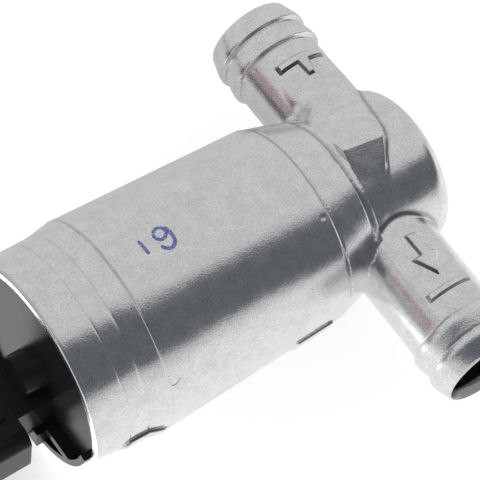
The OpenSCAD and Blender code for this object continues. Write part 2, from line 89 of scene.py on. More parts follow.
# The barrel's relief: a bulge on the far side, two lands on the near side (the collar's and a pad), the
# parting line and a slight unevenness. Each has its rise and its reach, which is the stations where it starts,
# is full, fades and ends.
BULGE_RISE, BULGE_REACH = 0.95, (1.5, 8.5, 12.5, 17.8)
LAND_RISE, LAND_REACH = 0.6, (5.6, 7.6, 15.8, 18.2)
PAD_RISE, PAD_REACH = 0.5, (50.8, 51.6, 60.6, 61.2)
SEAM_RISE, SEAM_REACH = 0.1, (24, 26, 38, 42)
WAVE_RISE, WAVE_REACH = 0.02, (19, 24, 60, 64)
# Heights of the collar land's upper edge, which falls to both sides, of the pad's upper edge and of the parting
# line.
LAND_TOP_X, LAND_TOP_Z, LAND_FALL_LEFT, LAND_FALL_RIGHT = 9.2, -0.9, 0.218, 0.045
PAD_Z, SEAM_Z = -3, -4
# Dents of the barrel: station, angle in degrees, depth, radius. The curved nick, drawn only as painted shade:
# its angles at some stations.
DENTS = ((19.5, 155.2, 0.05, 0.9), (63.3, 118.7, 0.25, 0.35))
NICK_X, NICK_ANGLE = (18.4, 19.0, 19.6, 20.1, 20.5), (155.7, 156.2, 156.15, 155.6, 154.4)

# The fairing over the head: where its planes meet, its reach, and each plane's tilt as (along Y, along Z).
CREASE_Y, CREASE_Z, BEND_Y, BEND_Z = -0.5, 21.4, -8.8, 16.9
HOOD_X, HOOD_LEFT, HOOD_END, FRONT_RISE = 84, 76.0, 26, 0.3
TOP_TILT, FRONT_TILT, BEND_TILT = (0.428, 0.9036), (-0.5145, 0.8575), (-0.70, 0.71)

# Edges sharper than these, in degrees, stay sharp.
TURNED_SHARP, HEAD_SHARP, MARK_SHARP = 38, 40, 60


def metres(points):
    """Points in millimetres from the rim, as metres in the part's own frame."""
    out = np.array(points, dtype=np.float64)
    out[:, 0] -= RIM_TO_ORIGIN
    return out * 0.001


def new_piece(name, points, faces, smooth=True):
    """A mesh object from points in millimetres, riding on the fixed body."""
    mesh = bpy.data.meshes.new(name)
    mesh.from_pydata([tuple(p) for p in metres(points)], [], [tuple(f) for f in faces])
    mesh.validate()
    piece = bpy.data.objects.new(name, mesh)
    bpy.context.scene.collection.objects.link(piece)
    if smooth:
        mesh.shade_smooth()
    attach(piece, "stator")
    return piece


def outward(piece):
    """Turns all faces outwards."""
    work = bmesh.new()
    work.from_mesh(piece.data)
    bmesh.ops.recalc_face_normals(work, faces=work.faces)
    work.to_mesh(piece.data)
    work.free()


def completed(piece, painted_shade, sharp):
    """Stores the painted shade (0 to 1 at each point), orients the faces and marks the sharp edges."""
    layer = piece.data.attributes.new("painted_shade", "FLOAT", "POINT")
    layer.data.foreach_set("value", np.clip(painted_shade, 0, 1).astype(np.float32))
    outward(piece)
    piece.data.set_sharp_from_angle(angle=math.radians(sharp))
    return piece


def turned(name, points, painted_shade, rings, segments):
    """A closed turned piece from rings of points; the last ring joins the first."""
    faces = []
    for i in range(rings):
        j = (i + 1) % rings
        for k in range(segments):
            m = (k + 1) % segments
            faces.append((i * segments + k, i * segments + m, j * segments + m, j * segments + k))
    return completed(new_piece(name, points, faces), painted_shade, TURNED_SHARP)


def ramp(value, start, end):
    """0 before start, 1 after end, smooth between."""
    t = np.clip((value - start) / (end - start), 0.0, 1.0)
    return t * t * (3 - 2 * t)


def band(value, start, full, fade, end):
    """0 before start, 1 between full and fade, 0 after end, smooth between."""
    return ramp(value, start, full) * (1 - ramp(value, fade, end))


def stripe(value, half):
    """1 where the value is 0, falling smoothly over about half on both sides."""
    return np.exp(-((value / half) ** 2))


# ---------------------------------------------------------------- the casting's barrel


def barrel_radius(x):
    """Radius of the barrel's taper at a station."""
    return BARREL_R - (BARREL_R - SHOULDER_R) / (SHOULDER - FLARE_END) * (x - FLARE_END)


def barrel_profile():
    """The barrel's outline as (station, radius), from the lip's inside over the outside and back."""
    outer = [(LIP_DEPTH, LIP_R), (0.3, LIP_R), (0.06, LIP_R + 0.04), (0.0, LIP_R + 0.1), (0.0, COLLAR_R - 0.3),
             (0.04, COLLAR_R - 0.2), (0.14, COLLAR_R - 0.08), (0.35, COLLAR_R)]
    # the collar, with a shallow groove at each ring line
    outer += [(x, COLLAR_R + 0.05 * math.sin(math.pi * x / 8.2)) for x in np.linspace(0.9, 7.9, 14)]
    outer += [(8.1, COLLAR_R - 0.02), (8.22, COLLAR_R - 0.1), (8.36, COLLAR_R - 0.1), (8.5, COLLAR_R - 0.03)]
    outer += [(x, COLLAR_R - 0.04 + 0.03 * math.sin(math.pi * (x - 8.5) / 4.2))
              for x in np.linspace(8.9, 12.4, 8)]
    low = COLLAR_R - 0.12
    outer += [(12.62, low), (RING_2, low - 0.02), (12.9, low + 0.04)]
    # the flare, its turned ring, the taper and the shoulder
    flare = [(t, t + 0.16 * math.sin(math.pi * t)) for t in np.linspace(0.06, 0.94, 12)]
    outer += [(12.9 + 4.8 * t, low + 0.04 + (BARREL_R - low - 0.14) * u) for t, u in flare]
    outer += [(17.68, BARREL_R - 0.1), (17.77, BARREL_R + 0.03), (17.84, BARREL_R + 0.06),
              (17.96, BARREL_R + 0.04), (18.12, BARREL_R - 0.03)]
    outer += [(x, barrel_radius(x)) for x in (*np.linspace(18.5, 21.0, 12), *np.linspace(21.4, 64.2, 96))]
    outer += [(64.45, SHOULDER_R - 0.02), (64.62, SHOULDER_R - 0.1), (64.8, SHOULDER_R - 0.27),
              (65.0, JOIN_R - 0.05), (BARREL_END, JOIN_R - 0.06)]
    inner = [(BARREL_END, CHAMBER_R), (MOTOR_END, CHAMBER_R), (MOTOR_END, MOTOR_R), (33.0, MOTOR_R),
             (SEAT_DEPTH, MOTOR_R), (SEAT_DEPTH, SEAT_R), (LIP_DEPTH, SEAT_R)]
    return outer, inner


def barrel_angles(half=192):
    """Angles round the barrel, closer together across the dent and the lands' upper edges."""
    return np.concatenate([np.linspace(0, math.radians(152), half - 30, endpoint=False),
                           np.radians(np.arange(152, 158, 0.3)),
                           np.linspace(math.radians(158), math.radians(178), 22, endpoint=False),
                           np.radians(np.arange(178, 200, 0.3)),
                           np.linspace(math.radians(200), 2 * math.pi, half, endpoint=False)])


def land_edge(x):
    """Height of the collar land's upper edge, an arch."""
    fall = np.where(x > LAND_TOP_X, LAND_FALL_RIGHT, LAND_FALL_LEFT)
    return LAND_TOP_Z - fall * (x - LAND_TOP_X) ** 2


def barrel_form(x, r, a, skin):
    """The turned form with its trimmed lands and dents, as (y, z). Only the skin, where it is 1, has them."""
    y, z = r * np.cos(a), r * np.sin(a)
    # a bulge on the far side, and on the near side two lands whose upper edges show
    y = y + BULGE_RISE * band(x, *BULGE_REACH) * (1 - ramp(np.abs(z), 3.2, 9)) * (y > 0) * skin
    land = LAND_RISE * band(land_edge(x) - z, 0, 0.55, 3, 6) * band(x, *LAND_REACH)
    pad = PAD_RISE * band(PAD_Z - z, 0, 0.5, 4, 7) * band(x, *PAD_REACH)
    y = y - (land + pad) * skin * (y < 0)
    # the parting line, and the slight unevenness of a tumbled casting
    seam = SEAM_RISE * stripe(z - SEAM_Z, 0.22) * skin * band(x, *SEAM_REACH) * (y < 0)
    wave = WAVE_RISE * np.sin(x * 0.35 + 3 * a) * np.sin(x * 0.11 - 2 * a + 1) * skin * band(x, *WAVE_REACH)
    y, z = y * (1 + (seam + wave) / r), z * (1 + wave / r)
    for station, degrees, depth, size in DENTS:
        turn = np.mod(a - math.radians(degrees) + math.pi, 2 * math.pi) - math.pi
        push = 1 - depth / r * np.exp(-(((x - station) / size) ** 2 + (r * turn / size) ** 2)) * skin
        y, z = y * push, z * push
    return y, z


def barrel_painted_shade(x, y, z, a, skin):
    """Painted shade along the rim, the rings, the shoulder, the lands' edges, the parting line and one nick."""
    # the painted shade in the ring lines, at the shoulder and at the rim fades towards the near side
    near, upper = (y < 0) * skin, (1 - 0.75 * ramp(-y, 6, 14)) * skin
    painted_shade = 0.5 * upper * stripe(x - RING_3, 0.16) + 0.55 * upper * stripe(x - SHOULDER - 0.05, 0.28)
    painted_shade += 0.16 * upper * (stripe(x - RING_1, 0.16) + stripe(x - RING_2, 0.16))
    painted_shade += 0.3 * (1 - ramp(np.abs(x - RIM_LINE), 0.05, 0.3)) * upper
    # the painted shadow line under the collar's land is thickest in its middle; the painted shade along the
    # parting line is broken into dashes
    thick = 0.12 + 0.42 * np.sin(math.pi * np.clip((x - 6.0) / 12, 0, 1))
    painted_shade += near * stripe(land_edge(x) - z - 0.3, thick) * band(x, 6.0, 7.5, 16.5, 18.3)
    painted_shade += 0.9 * near * stripe(z - PAD_Z + 0.25, 0.22) * band(x, 50.8, 51.4, 60.6, 61.0)
    dashed = np.sin(x * 2.3) > -0.6
    painted_shade += 0.5 * near * stripe(z - SEAM_Z, 0.14) * band(x, 24, 26, 36, 40) * dashed
    nick = stripe(np.degrees(a) - np.interp(x, NICK_X, NICK_ANGLE), 0.35)
    return painted_shade + 0.9 * nick * (x > NICK_X[0] + 0.05) * (x < NICK_X[-1] + 0.1) * skin


def build_barrel():
    """The barrel with its collar, rolled lip and motor room."""
    outer, inner = barrel_profile()
    stations, angles = np.array(outer + inner), barrel_angles()
    rings, segments = len(stations), len(angles)
    x = np.repeat(stations[:, 0][:, None], segments, axis=1)
    r = np.repeat(stations[:, 1][:, None], segments, axis=1)
    a = np.repeat(angles[None, :], rings, axis=0)
    skin = np.zeros_like(r)
    skin[: len(outer)] = 1.0
    y, z = barrel_form(x, r, a, skin)
    points = np.stack([x.ravel(), y.ravel(), z.ravel()], axis=1)
    return turned("cast_barrel", points, barrel_painted_shade(x, y, z, a, skin).ravel(), rings, segments)


# ---------------------------------------------------------------- the casting's head, as one smooth form


def join(a, b, k):
    """The smaller of two fields, with a fillet of about k."""
    h = np.clip(0.5 + 0.5 * (b - a) / k, 0, 1)
    return b * (1 - h) + a * h - k * h * (1 - h)


def cut(a, b, k):
    """The larger of two fields, with an edge rounding of about k."""
    return -join(-a, -b, k)


def pipe_field(x, y, z, centre, toward):
    """A pipe's outside, on one side of the axis."""
    return np.maximum(np.hypot(x - centre, z) - PIPE_R, -y * toward)


def tilted(tilt, along, above):
    """Distance over a tilted plane."""
    return tilt[0] * along + tilt[1] * above


def hood_edge(y):
    """Station of the fairing's upper right edge."""
    return np.interp(y, [-16, -12.5, -11, -8.7, -6.3, -3.5, -1.4, 0.2, 2.5, 6.6, 12.1, 16, 20, 26],
                     [77, 79.6, 81.0, 82.4, 83.7, 85.0, 85.9, 87.0, 87.9, 89.3, 91.1, 92.3, 93.3, 94.3])


def hood_field(x, y, z):
    """The fairing over the head: an arched, falling top, a front that meets the head, a leaning right side."""
    wide = np.interp(y, [-1, 2, 8, 13, 16, 18, 20], [300, 60, 24, 14, 8.5, 6, 5])
    up = np.abs(z) / np.sqrt(1 - np.clip((HOOD_X - x) / wide, 0, 0.97) ** 2)
    back = y - CREASE_Y + 0.15 * (x - 80)
    top = tilted(TOP_TILT, back, up - CREASE_Z)
    front = tilted(FRONT_TILT, back, up - CREASE_Z - FRONT_RISE)
    bend = tilted(BEND_TILT, y - BEND_Y, up - BEND_Z)
    crest = CREASE_Z - np.where(back > 0, 0.474 * back, -0.6 * back)
    right = (x - hood_edge(y) - 0.55 * np.clip(crest - up, 0, 3.5)) * 0.84
    body = cut(cut(top, cut(front, bend, 0.3), 0.25), right, 0.5 + np.clip((-y - 5) / 5, 0, 1))
    left = np.maximum(HOOD_LEFT, HOOD_X - 0.97 * wide) - x
    return np.maximum(cut(body, left, 0.3), y - HOOD_END)


def crown_field(x, y, z):
    """The plain head with its rounded end."""
    middle, half = (HEAD_START + HEAD_END) / 2, (HEAD_END - HEAD_START) / 2
    qx, qr = np.abs(x - middle) - half + HEAD_ROUNDING, np.hypot(y, z) - HEAD_R + HEAD_ROUNDING
    return np.hypot(np.maximum(qx, 0), np.maximum(qr, 0)) + np.minimum(np.maximum(qx, qr), 0) - HEAD_ROUNDING


def head_field(x, y, z):
    """The head's outside: the cone behind the barrel, the grooved ridge, crown, fairing and both pipes."""
    rho = np.hypot(y, z)
    t = np.clip((x - JOIN) / (CONE_END - JOIN), 0, 1)
    cone = (rho - (JOIN_R - 2.8 * (0.85 * t + 0.15 * t * t))) * 0.95
    cone = np.maximum(cone, np.maximum(x - CONE_END - 0.1, JOIN - 0.1 - x))
    ridge = np.maximum(rho - RIDGE_R, np.maximum(x - RIDGE_END, RIDGE_START - x))
    beside = np.hypot(x - np.where(y < 0, NEAR_X, FAR_X), z) - PIPE_R
    groove = np.maximum(np.hypot(x - GROOVE_X, rho - (RIDGE_R + 0.12)) - GROOVE_R, 0.9 - beside)
    form = join(crown_field(x, y, z), hood_field(x, y, z), 0.5 + 0.3 * np.clip((-y - 4) / 6, 0, 1))
    flow = np.clip((85 - x) / 4, 0, 1) * np.clip((y - 6) / 6, 0, 1)
    form = join(form, pipe_field(x, y, z, FAR_X, 1), 0.7 + 1.6 * flow)
    form = join(form, pipe_field(x, y, z, NEAR_X, -1), 0.9)
    form = join(join(form, ridge, 0.25), cone, 0.15)
    return cut(form, -groove, 0.15)


def hollow_field(x, y, z):
    """The chamber and both air passages."""
    chamber = np.maximum(np.hypot(y, z) - CHAMBER_R, np.maximum(x - CHAMBER_END, CHAMBER_START - x))
    far = np.maximum(np.hypot(x - FAR_X, z) - BORE_R, PASSAGE_START - y)
    near = np.maximum(np.hypot(x - NEAR_X, z) - BORE_R, PASSAGE_START + y)
    return np.minimum(chamber, np.minimum(far, near))


def casting_field(x, y, z):
    """The hollow head, cut off at the barrel and at both spigot ends."""
    body = cut(head_field(x, y, z), -hollow_field(x, y, z), 0.12)
    ends = np.maximum(y - FAR_CUT, -NEAR_CUT - y)
    return np.maximum(body, np.maximum(ends, JOIN - 0.05 - x))


def head_mesh(step, limit=3.0, probe=0.02, stride=0.3):
    """Points and quads on the casting field's zero surface, from a grid of cells."""
    low = np.array([64.0, -NEAR_CUT - 1.2, -24.6])
    high = np.array([HEAD_END + 1.9, FAR_CUT + 1.2, 24.6])
    count = np.ceil((high - low) / step).astype(int) + 1
    axes = [low[i] + step * np.arange(count[i], dtype=np.float32) for i in range(3)]
    x, y, z = np.meshgrid(*axes, indexing="ij", sparse=True)
    values = casting_field(x + 0 * y + 0 * z, y + 0 * x + 0 * z, z + 0 * x + 0 * y).astype(np.float32)
    grid = openvdb.FloatGrid(background=limit)
    grid.copyFromArray(np.clip(values, -limit, limit))
    points, quads = grid.convertToQuads(isovalue=0.0)
    points = points * step + low
    # three Newton steps bring the points onto the surface, so that edges come out straight
    for _ in range(3):
        x, y, z = points.T
        off = casting_field(x, y, z)
        slope = np.stack([casting_field(x + probe, y, z) - off, casting_field(x, y + probe, z) - off,
                          casting_field(x, y, z + probe) - off], 1) / probe
        slope /= np.maximum(np.linalg.norm(slope, axis=1), 0.3)[:, None]
        points = points - np.clip(off, -stride, stride)[:, None] * slope
    return points, quads


def build_head(step):
    """The head as one smooth form, with painted shade in the groove, at the fairing's foot and the near pipe's
    root.
    """
    points, quads = head_mesh(step)
    x, y, z = points.T
    rho = np.hypot(y, z)
    painted_shade = stripe(x - 74.4, 0.4) * ramp(rho, 19.0, 19.3) * (0.5 - 0.35 * ramp(-y, 6, 14))
    meet = hood_field(x, y, z) - crown_field(x, y, z)
    painted_shade += 0.6 * stripe(meet, 0.4) * ramp(x - hood_edge(y), -0.9, 0.2) * band(y, -8.5, -5, 16, 22)
    root = stripe(np.hypot(x - NEAR_X, z) - 11.0, 0.5)
    painted_shade += 0.5 * root * (rho > 17.5) * (y < -8) * (rho < 19)
    return completed(new_piece("cast_head", points, quads), painted_shade, HEAD_SHARP)


# ---------------------------------------------------------------- barbed spigot ends


def spigot_profile(reach, start):
    """A spigot's closed outline as (distance from the axis of the barrel, radius), in short steps."""
    first, second = reach - 2 * BARB_PITCH, reach - BARB_PITCH
    line = [(start, PIPE_R - 0.06), (start + 0.3, PIPE_R + 0.012), (first - 0.55, PIPE_R),
            (first - 0.42, PIPE_R - 0.05), (first - 0.3, PIPE_R - 0.06), (first - 0.2, PIPE_R + 0.02),
            (first - 0.12, PIPE_R + 0.3), (first - 0.02, BARB_R - 0.2), (first + 0.1, BARB_R - 0.05),
            (first + 0.3, BARB_R), (first + 0.9, BARB_R - 0.02), (first + 1.6, BARB_R - 0.1),
            (second - 0.75, MOUTH_R + 0.45), (second - 0.5, MOUTH_R + 0.36), (second - 0.32, MOUTH_R + 0.36),
            (second - 0.2, MOUTH_R + 0.5), (second - 0.12, MOUTH_R + 0.7), (second - 0.02, BARB_R - 0.22),
            (second + 0.1, BARB_R - 0.06), (second + 0.3, BARB_R), (second + 0.9, BARB_R - 0.03),
            (second + 1.6, BARB_R - 0.14), (reach - 0.5, MOUTH_R + 0.05), (reach - 0.18, MOUTH_R - 0.06),
            (reach - 0.05, MOUTH_R - 0.18), (reach, MOUTH_R - 0.3), (reach, BORE_R + 1.0),
            (reach - 0.1, BORE_R + 0.9), (reach - 2.2, BORE_R), (start + 0.3, BORE_R - 0.01),
            (start, BORE_R + 0.05)]
    fine = []
    for (y0, r0), (y1, r1) in zip(line, line[1:] + line[:1]):
        parts = max(1, int(math.hypot(y1 - y0, r1 - r0) / 0.6))
        fine += [(y0 + (y1 - y0) * k / parts, r0 + (r1 - r0) * k / parts) for k in range(parts)]
    return fine


def build_spigot(name, centre, reach, cut_at, toward, segments=320, bore_painted_shade=0.62):
    """A turned spigot end: two saw-tooth barbs outside, the flared air passage inside, darkened with painted
    shade.
    """
    profile = spigot_profile(reach, cut_at - CUT_OVERLAP)
    points, painted_shade = [], []
    for y, r in profile:
        painted_shade += [bore_painted_shade * (r < BORE_R + 0.95 and y < reach - 0.05)] * segments
        for k in range(segments):
            a = 2 * math.pi * k / segments
            points.append((centre + r * math.cos(a), y * toward, r * math.sin(a)))
    return turned(name, points, np.array(painted_shade), len(profile), segments)


# ---------------------------------------------------------------- raised marks


def outline_distance(x, y, outline):
    """Signed distance to a polygon, positive inside."""
    best, inside = np.full_like(x, 1e9), np.zeros(x.shape, dtype=bool)
    for i, (x0, y0) in enumerate(outline):
        x1, y1 = outline[(i + 1) % len(outline)]
        dx, dy = x1 - x0, y1 - y0
        t = np.clip(((x - x0) * dx + (y - y0) * dy) / (dx * dx + dy * dy), 0, 1)
        best = np.minimum(best, np.hypot(x - x0 - t * dx, y - y0 - t * dy))
        if dy:
            inside ^= ((y0 > y) != (y1 > y)) & (x < x0 + (y - y0) * dx / dy)
    return np.where(inside, best, -best)


def build_mark(name, outline, centre, height, slope, step=0.14, depth=0.6):
    """A raised mark with sloping walls, wrapped over a pipe and sunk a little into it."""
    low, high = np.min(outline, axis=0) - 1, np.max(outline, axis=0) + 1
    x, y = np.meshgrid(np.arange(low[0], high[0], step), np.arange(low[1], high[1], step), indexing="ij")
    inside = outline_distance(x, y, outline)
    t = np.clip((inside + slope * 0.5) / slope, -0.4, 1)
    rise = height * np.where(t > 0, t * t * (3 - 2 * t), t * 0.8) - 0.03
    keep = inside > -slope * 0.5 - 0.3
    # painted shade on the walls, most on those that face down and left
    gx, gy = np.gradient(inside, step)
    wall = band(inside, -slope * 0.5 - 0.3, -slope * 0.3, slope * 0.2, slope * 0.55)
    shade = wall * np.clip(0.2 + 0.5 * gx + 0.65 * gy, 0.12, 0.78)
    top = np.sqrt(np.maximum((PIPE_R + rise) ** 2 - (x - centre) ** 2, 0.01))
    floor = np.sqrt(np.maximum((PIPE_R - depth) ** 2 - (x - centre) ** 2, 0.01))
    rows, cols = x.shape
    index = -np.ones((2, rows, cols), dtype=int)
    points, faces, sides, painted_shade = [], [], {}, []
    for i in range(rows - 1):
        for j in range(cols - 1):
            ring = [(i, j), (i + 1, j), (i + 1, j + 1), (i, j + 1)]
            if not all(keep[c] for c in ring):
                continue
            for layer, level in ((0, top), (1, floor)):
                for c in ring:
                    if index[layer][c] < 0:
                        index[layer][c] = len(points)
                        points.append((x[c], y[c], level[c]))
                        painted_shade.append(shade[c])
            faces.append([index[0][c] for c in ring])
            faces.append([index[1][c] for c in reversed(ring)])
            # a side shared by two cells is inside the mark, the others get a wall
            for a, b in zip(ring, ring[1:] + ring[:1]):
                if (b, a) in sides:
                    del sides[(b, a)]
                else:
                    sides[(a, b)] = True
    for a, b in sides:
        faces.append((index[0][b], index[0][a], index[1][a], index[1][b]))
    return completed(new_piece(name, points, faces), np.array(painted_shade), MARK_SHARP)


def build_marks():
    """The mark on the far spigot, and the arrow and rule on the near one."""
    tee = [(82.1, 28.05), (86.6, 28.05), (86.9, 24.2), (88.35, 24.3), (89.2, 27.75), (93.5, 27.9), (93.5, 29.7),
           (82.1, 29.9)]
    arrow = [(79.9, -20.0), (80.0, -25.5), (77.9, -25.5), (80.5, -30.8), (83.9, -25.9), (82.2, -25.4),
             (82.1, -20.2)]
    rule = [(75.5, -33.6), (86.2, -33.6), (86.2, -34.95), (75.5, -35.15)]
    return (build_mark("flow_mark_far", tee, FAR_X, 0.75, 0.8),
            build_mark("flow_mark_near", arrow, NEAR_X, 0.65, 0.75),
            build_mark("flow_rule_near", rule, NEAR_X, 0.65, 0.5))


# ---------------------------------------------------------------- the ink stamp


# Each stroke of the stamp as its line on the barrel (station, Y) and its half width.
STROKES = (
    ([(29.6, 2.4), (30.2, 3.0), (31.0, 3.2), (31.6, 2.9), (32.1, 2.4), (32.2, 1.5), (31.8, 0.8), (30.9, 0.3),
      (30.0, 0.3), (29.5, 1.0), (29.3, 1.7), (29.6, 2.5)], 0.38),
    ([(32.4, 2.6), (32.7, 1.6), (32.8, 0.6), (32.8, -0.4), (32.5, -1.4), (31.8, -2.1), (31.0, -2.3),
      (30.3, -2.1), (29.7, -1.5), (29.3, -0.9)], 0.42),
    ([(26.0, 2.6), (26.1, 1.2), (26.15, 0.2), (26.2, -0.5), (26.25, -1.3)], 0.38))
INK_TOP, INK_FOOT, INK_RAGGED = 0.018, -0.04, 0.14


def smooth_line(line, step=0.1):
    """A line through the given points without corners, resampled."""
    line = np.array(line)
    for _ in range(3):
        a, b = line[:-1], line[1:]
        corners = np.stack([a * 0.75 + b * 0.25, a * 0.25 + b * 0.75], 1).reshape(-1, 2)
        line = np.concatenate([line[:1], corners, line[-1:]])
    along = np.concatenate([[0], np.cumsum(np.hypot(*np.diff(line, axis=0).T))])
    at = np.arange(0, along[-1], step)
    return np.stack([np.interp(at, along, line[:, 0]), np.interp(at, along, line[:, 1])], 1)


def build_ink():
    """A digit and a dash as thin ink strokes with uneven edges."""
    chance = np.random.default_rng(5)
    points, faces = [], []
    for line, half in STROKES:
        line = smooth_line(line)
        ahead = np.gradient(line, axis=0)
        ahead /= np.hypot(*ahead.T)[:, None]
        across = np.stack([-ahead[:, 1], ahead[:, 0]], 1)
        from_end = np.minimum(np.arange(len(line)), len(line) - 1 - np.arange(len(line)))
        taper = np.minimum(1, 0.35 + from_end / 4)
        base = len(points)
        for k, (p, n) in enumerate(zip(line, across)):
            left, right = half * taper[k] * (1 + chance.normal(0, INK_RAGGED, 2))
            for shift, lift in ((left, INK_TOP), (-right, INK_TOP), (-right, INK_FOOT), (left, INK_FOOT)):
                x, y = p[0] + n[0] * shift, p[1] + n[1] * shift
                points.append((x, y, math.sqrt((barrel_radius(x) + lift) ** 2 - y * y)))
        for a in range(base, base + 4 * (len(line) - 1), 4):
            for c in range(4):
                d = (c + 1) % 4
                faces.append((a + c, a + d, a + 4 + d, a + 4 + c))
        faces.append((base, base + 3, base + 2, base + 1))
        last = base + 4 * (len(line) - 1)
        faces.append((last, last + 1, last + 2, last + 3))
    piece = new_piece("ink_stamp", points, faces, smooth=False)
    outward(piece)
    return piece


# ---------------------------------------------------------------- finishes

# How much of a colour is left under painted shade, and the refraction of the cap's plastic.
PAINTED_SHADE_LEVEL, PLASTIC_IOR = 0.13, 1.17


def shader(name):
    """A new material with nothing but a Principled shader."""
    material = bpy.data.materials.new(name)
    material.use_nodes = True
    tree = material.node_tree
    tree.nodes.clear()
    out = tree.nodes.new("ShaderNodeOutputMaterial")
    bsdf = tree.nodes.new("ShaderNodeBsdfPrincipled")
    tree.links.new(bsdf.outputs[0], out.inputs["Surface"])
    return material, tree, bsdf


def compute(tree, operation, *values, kind="ShaderNodeMath"):
    """A math node, each of its values being a socket, a number or a vector."""
    node = tree.nodes.new(kind)
    node.operation = operation
    for socket, value in zip(node.inputs, values):
        if isinstance(value, bpy.types.NodeSocket):
            tree.links.new(value, socket)
        else:
            socket.default_value = value
    return node.outputs["Value"]


def spread(tree, value, low, high, to_low=0.0, to_high=1.0):
    """Maps low and high to two other values, limited to the range between them."""
    node = tree.nodes.new("ShaderNodeMapRange")
    tree.links.new(value, node.inputs["Value"])
    for key, number in (("From Min", low), ("From Max", high), ("To Min", to_low), ("To Max", to_high)):
        node.inputs[key].default_value = number
    return node.outputs["Result"]


def mix(tree, factor, a, b):
    """Blends two colours or colour sockets."""
    node = tree.nodes.new("ShaderNodeMix")
    node.data_type = "RGBA"
    tree.links.new(factor, node.inputs["Factor"])
    for value, socket in ((a, node.inputs[6]), (b, node.inputs[7])):
        if isinstance(value, (tuple, list)):
            socket.default_value = (*value[:3], 1)
        else:
            tree.links.new(value, socket)
    return node.outputs[2]


def speckle_group():
    """Fine grain and slow mottling, shared by the metals and the mouldings."""
    name = "Surface grain"
    if name in bpy.data.node_groups:
        return bpy.data.node_groups[name]
    group = bpy.data.node_groups.new(name, "ShaderNodeTree")
    for label, value in (("Grain Scale", 2400.0), ("Mottle Scale", 260.0), ("Base Roughness", 0.3),
                         ("Roughness Spread", 0.12)):
        socket = group.interface.new_socket(name=label, in_out="INPUT", socket_type="NodeSocketFloat")
        socket.default_value = value
    for label in ("Grain", "Mottle", "Roughness", "Height"):
        group.interface.new_socket(name=label, in_out="OUTPUT", socket_type="NodeSocketFloat")
    ins, outs = group.nodes.new("NodeGroupInput"), group.nodes.new("NodeGroupOutput")
    coord = group.nodes.new("ShaderNodeTexCoord")
    pattern = {}
    for label, detail in (("Grain", 3), ("Mottle", 4)):
        texture = group.nodes.new("ShaderNodeTexNoise")
        texture.inputs["Detail"].default_value = detail
        group.links.new(coord.outputs["Object"], texture.inputs["Vector"])
        group.links.new(ins.outputs[label + " Scale"], texture.inputs["Scale"])
        pattern[label] = texture.outputs["Fac"]
        group.links.new(pattern[label], outs.inputs[label])
    shift = compute(group, "SUBTRACT", pattern["Mottle"], 0.5)
    rough = compute(group, "MULTIPLY_ADD", shift, ins.outputs["Roughness Spread"],
                    ins.outputs["Base Roughness"])
    group.links.new(rough, outs.inputs["Roughness"])
    height = compute(group, "MULTIPLY_ADD", pattern["Mottle"], 1.3, pattern["Grain"])
    group.links.new(height, outs.inputs["Height"])
    return group


def grained(name, colour, light, metallic, roughness, rough_spread, grain, mottle, bump, distance):
    """A material with grain in its colour, roughness and relief, and painted shade where the mesh's painted
    shade attribute says so.
    """
    material, tree, bsdf = shader(name)
    group = tree.nodes.new("ShaderNodeGroup")
    group.node_tree = speckle_group()
    for label, value in (("Grain Scale", grain), ("Mottle Scale", mottle), ("Base Roughness", roughness),
                         ("Roughness Spread", rough_spread)):
        group.inputs[label].default_value = value
    tone = spread(tree, group.outputs["Grain"], 0.3, 0.7)
    cloud = spread(tree, group.outputs["Mottle"], 0.36, 0.62, 0.94, 1.03)
    # painted shade stored on the mesh darkens the colour
    painted_shade_node = tree.nodes.new("ShaderNodeAttribute")
    painted_shade_node.attribute_name = "painted_shade"
    dark = tuple(PAINTED_SHADE_LEVEL * c for c in colour)
    shade = tree.nodes.new("ShaderNodeVectorMath")
    shade.operation = "SCALE"
    tree.links.new(mix(tree, painted_shade_node.outputs["Fac"], mix(tree, tone, colour, light), dark), shade.inputs[0])
    tree.links.new(cloud, shade.inputs["Scale"])
    tree.links.new(shade.outputs[0], bsdf.inputs["Base Color"])
    tree.links.new(group.outputs["Roughness"], bsdf.inputs["Roughness"])
    bsdf.inputs["Metallic"].default_value = metallic
    relief = tree.nodes.new("ShaderNodeBump")
    relief.inputs["Strength"].default_value = bump
    relief.inputs["Distance"].default_value = distance
    tree.links.new(group.outputs["Height"], relief.inputs["Height"])
    tree.links.new(relief.outputs[0], bsdf.inputs["Normal"])
    return material


def cast_metal(tone, roughness):
    """The die-cast aluminium, bright with a fine grain."""
    return grained("Cast aluminium", tuple(c * 0.83 for c in tone), tuple(min(1, c * 1.14) for c in tone), 1.0,
                   roughness, 0.14, 3000, 330, 0.22, 0.00013)


def stamp_ink(tone):
    """Thin ink, paler in worn spots."""
    ink, tree, bsdf = shader("Blue ink")
    place, worn = tree.nodes.new("ShaderNodeTexCoord"), tree.nodes.new("ShaderNodeTexNoise")
    for label, value in (("Scale", 2600), ("Detail", 3), ("Roughness", 0.6)):
        worn.inputs[label].default_value = value
    tree.links.new(place.outputs["Object"], worn.inputs["Vector"])
    pale = tuple(0.3 * c + 0.7 * w for c, w in zip(tone, (0.45, 0.5, 0.66)))
    blend = mix(tree, spread(tree, worn.outputs["Fac"], 0.42, 0.68), tone, pale)
    tree.links.new(blend, bsdf.inputs["Base Color"])
    bsdf.inputs["Roughness"].default_value = 0.5
    return ink


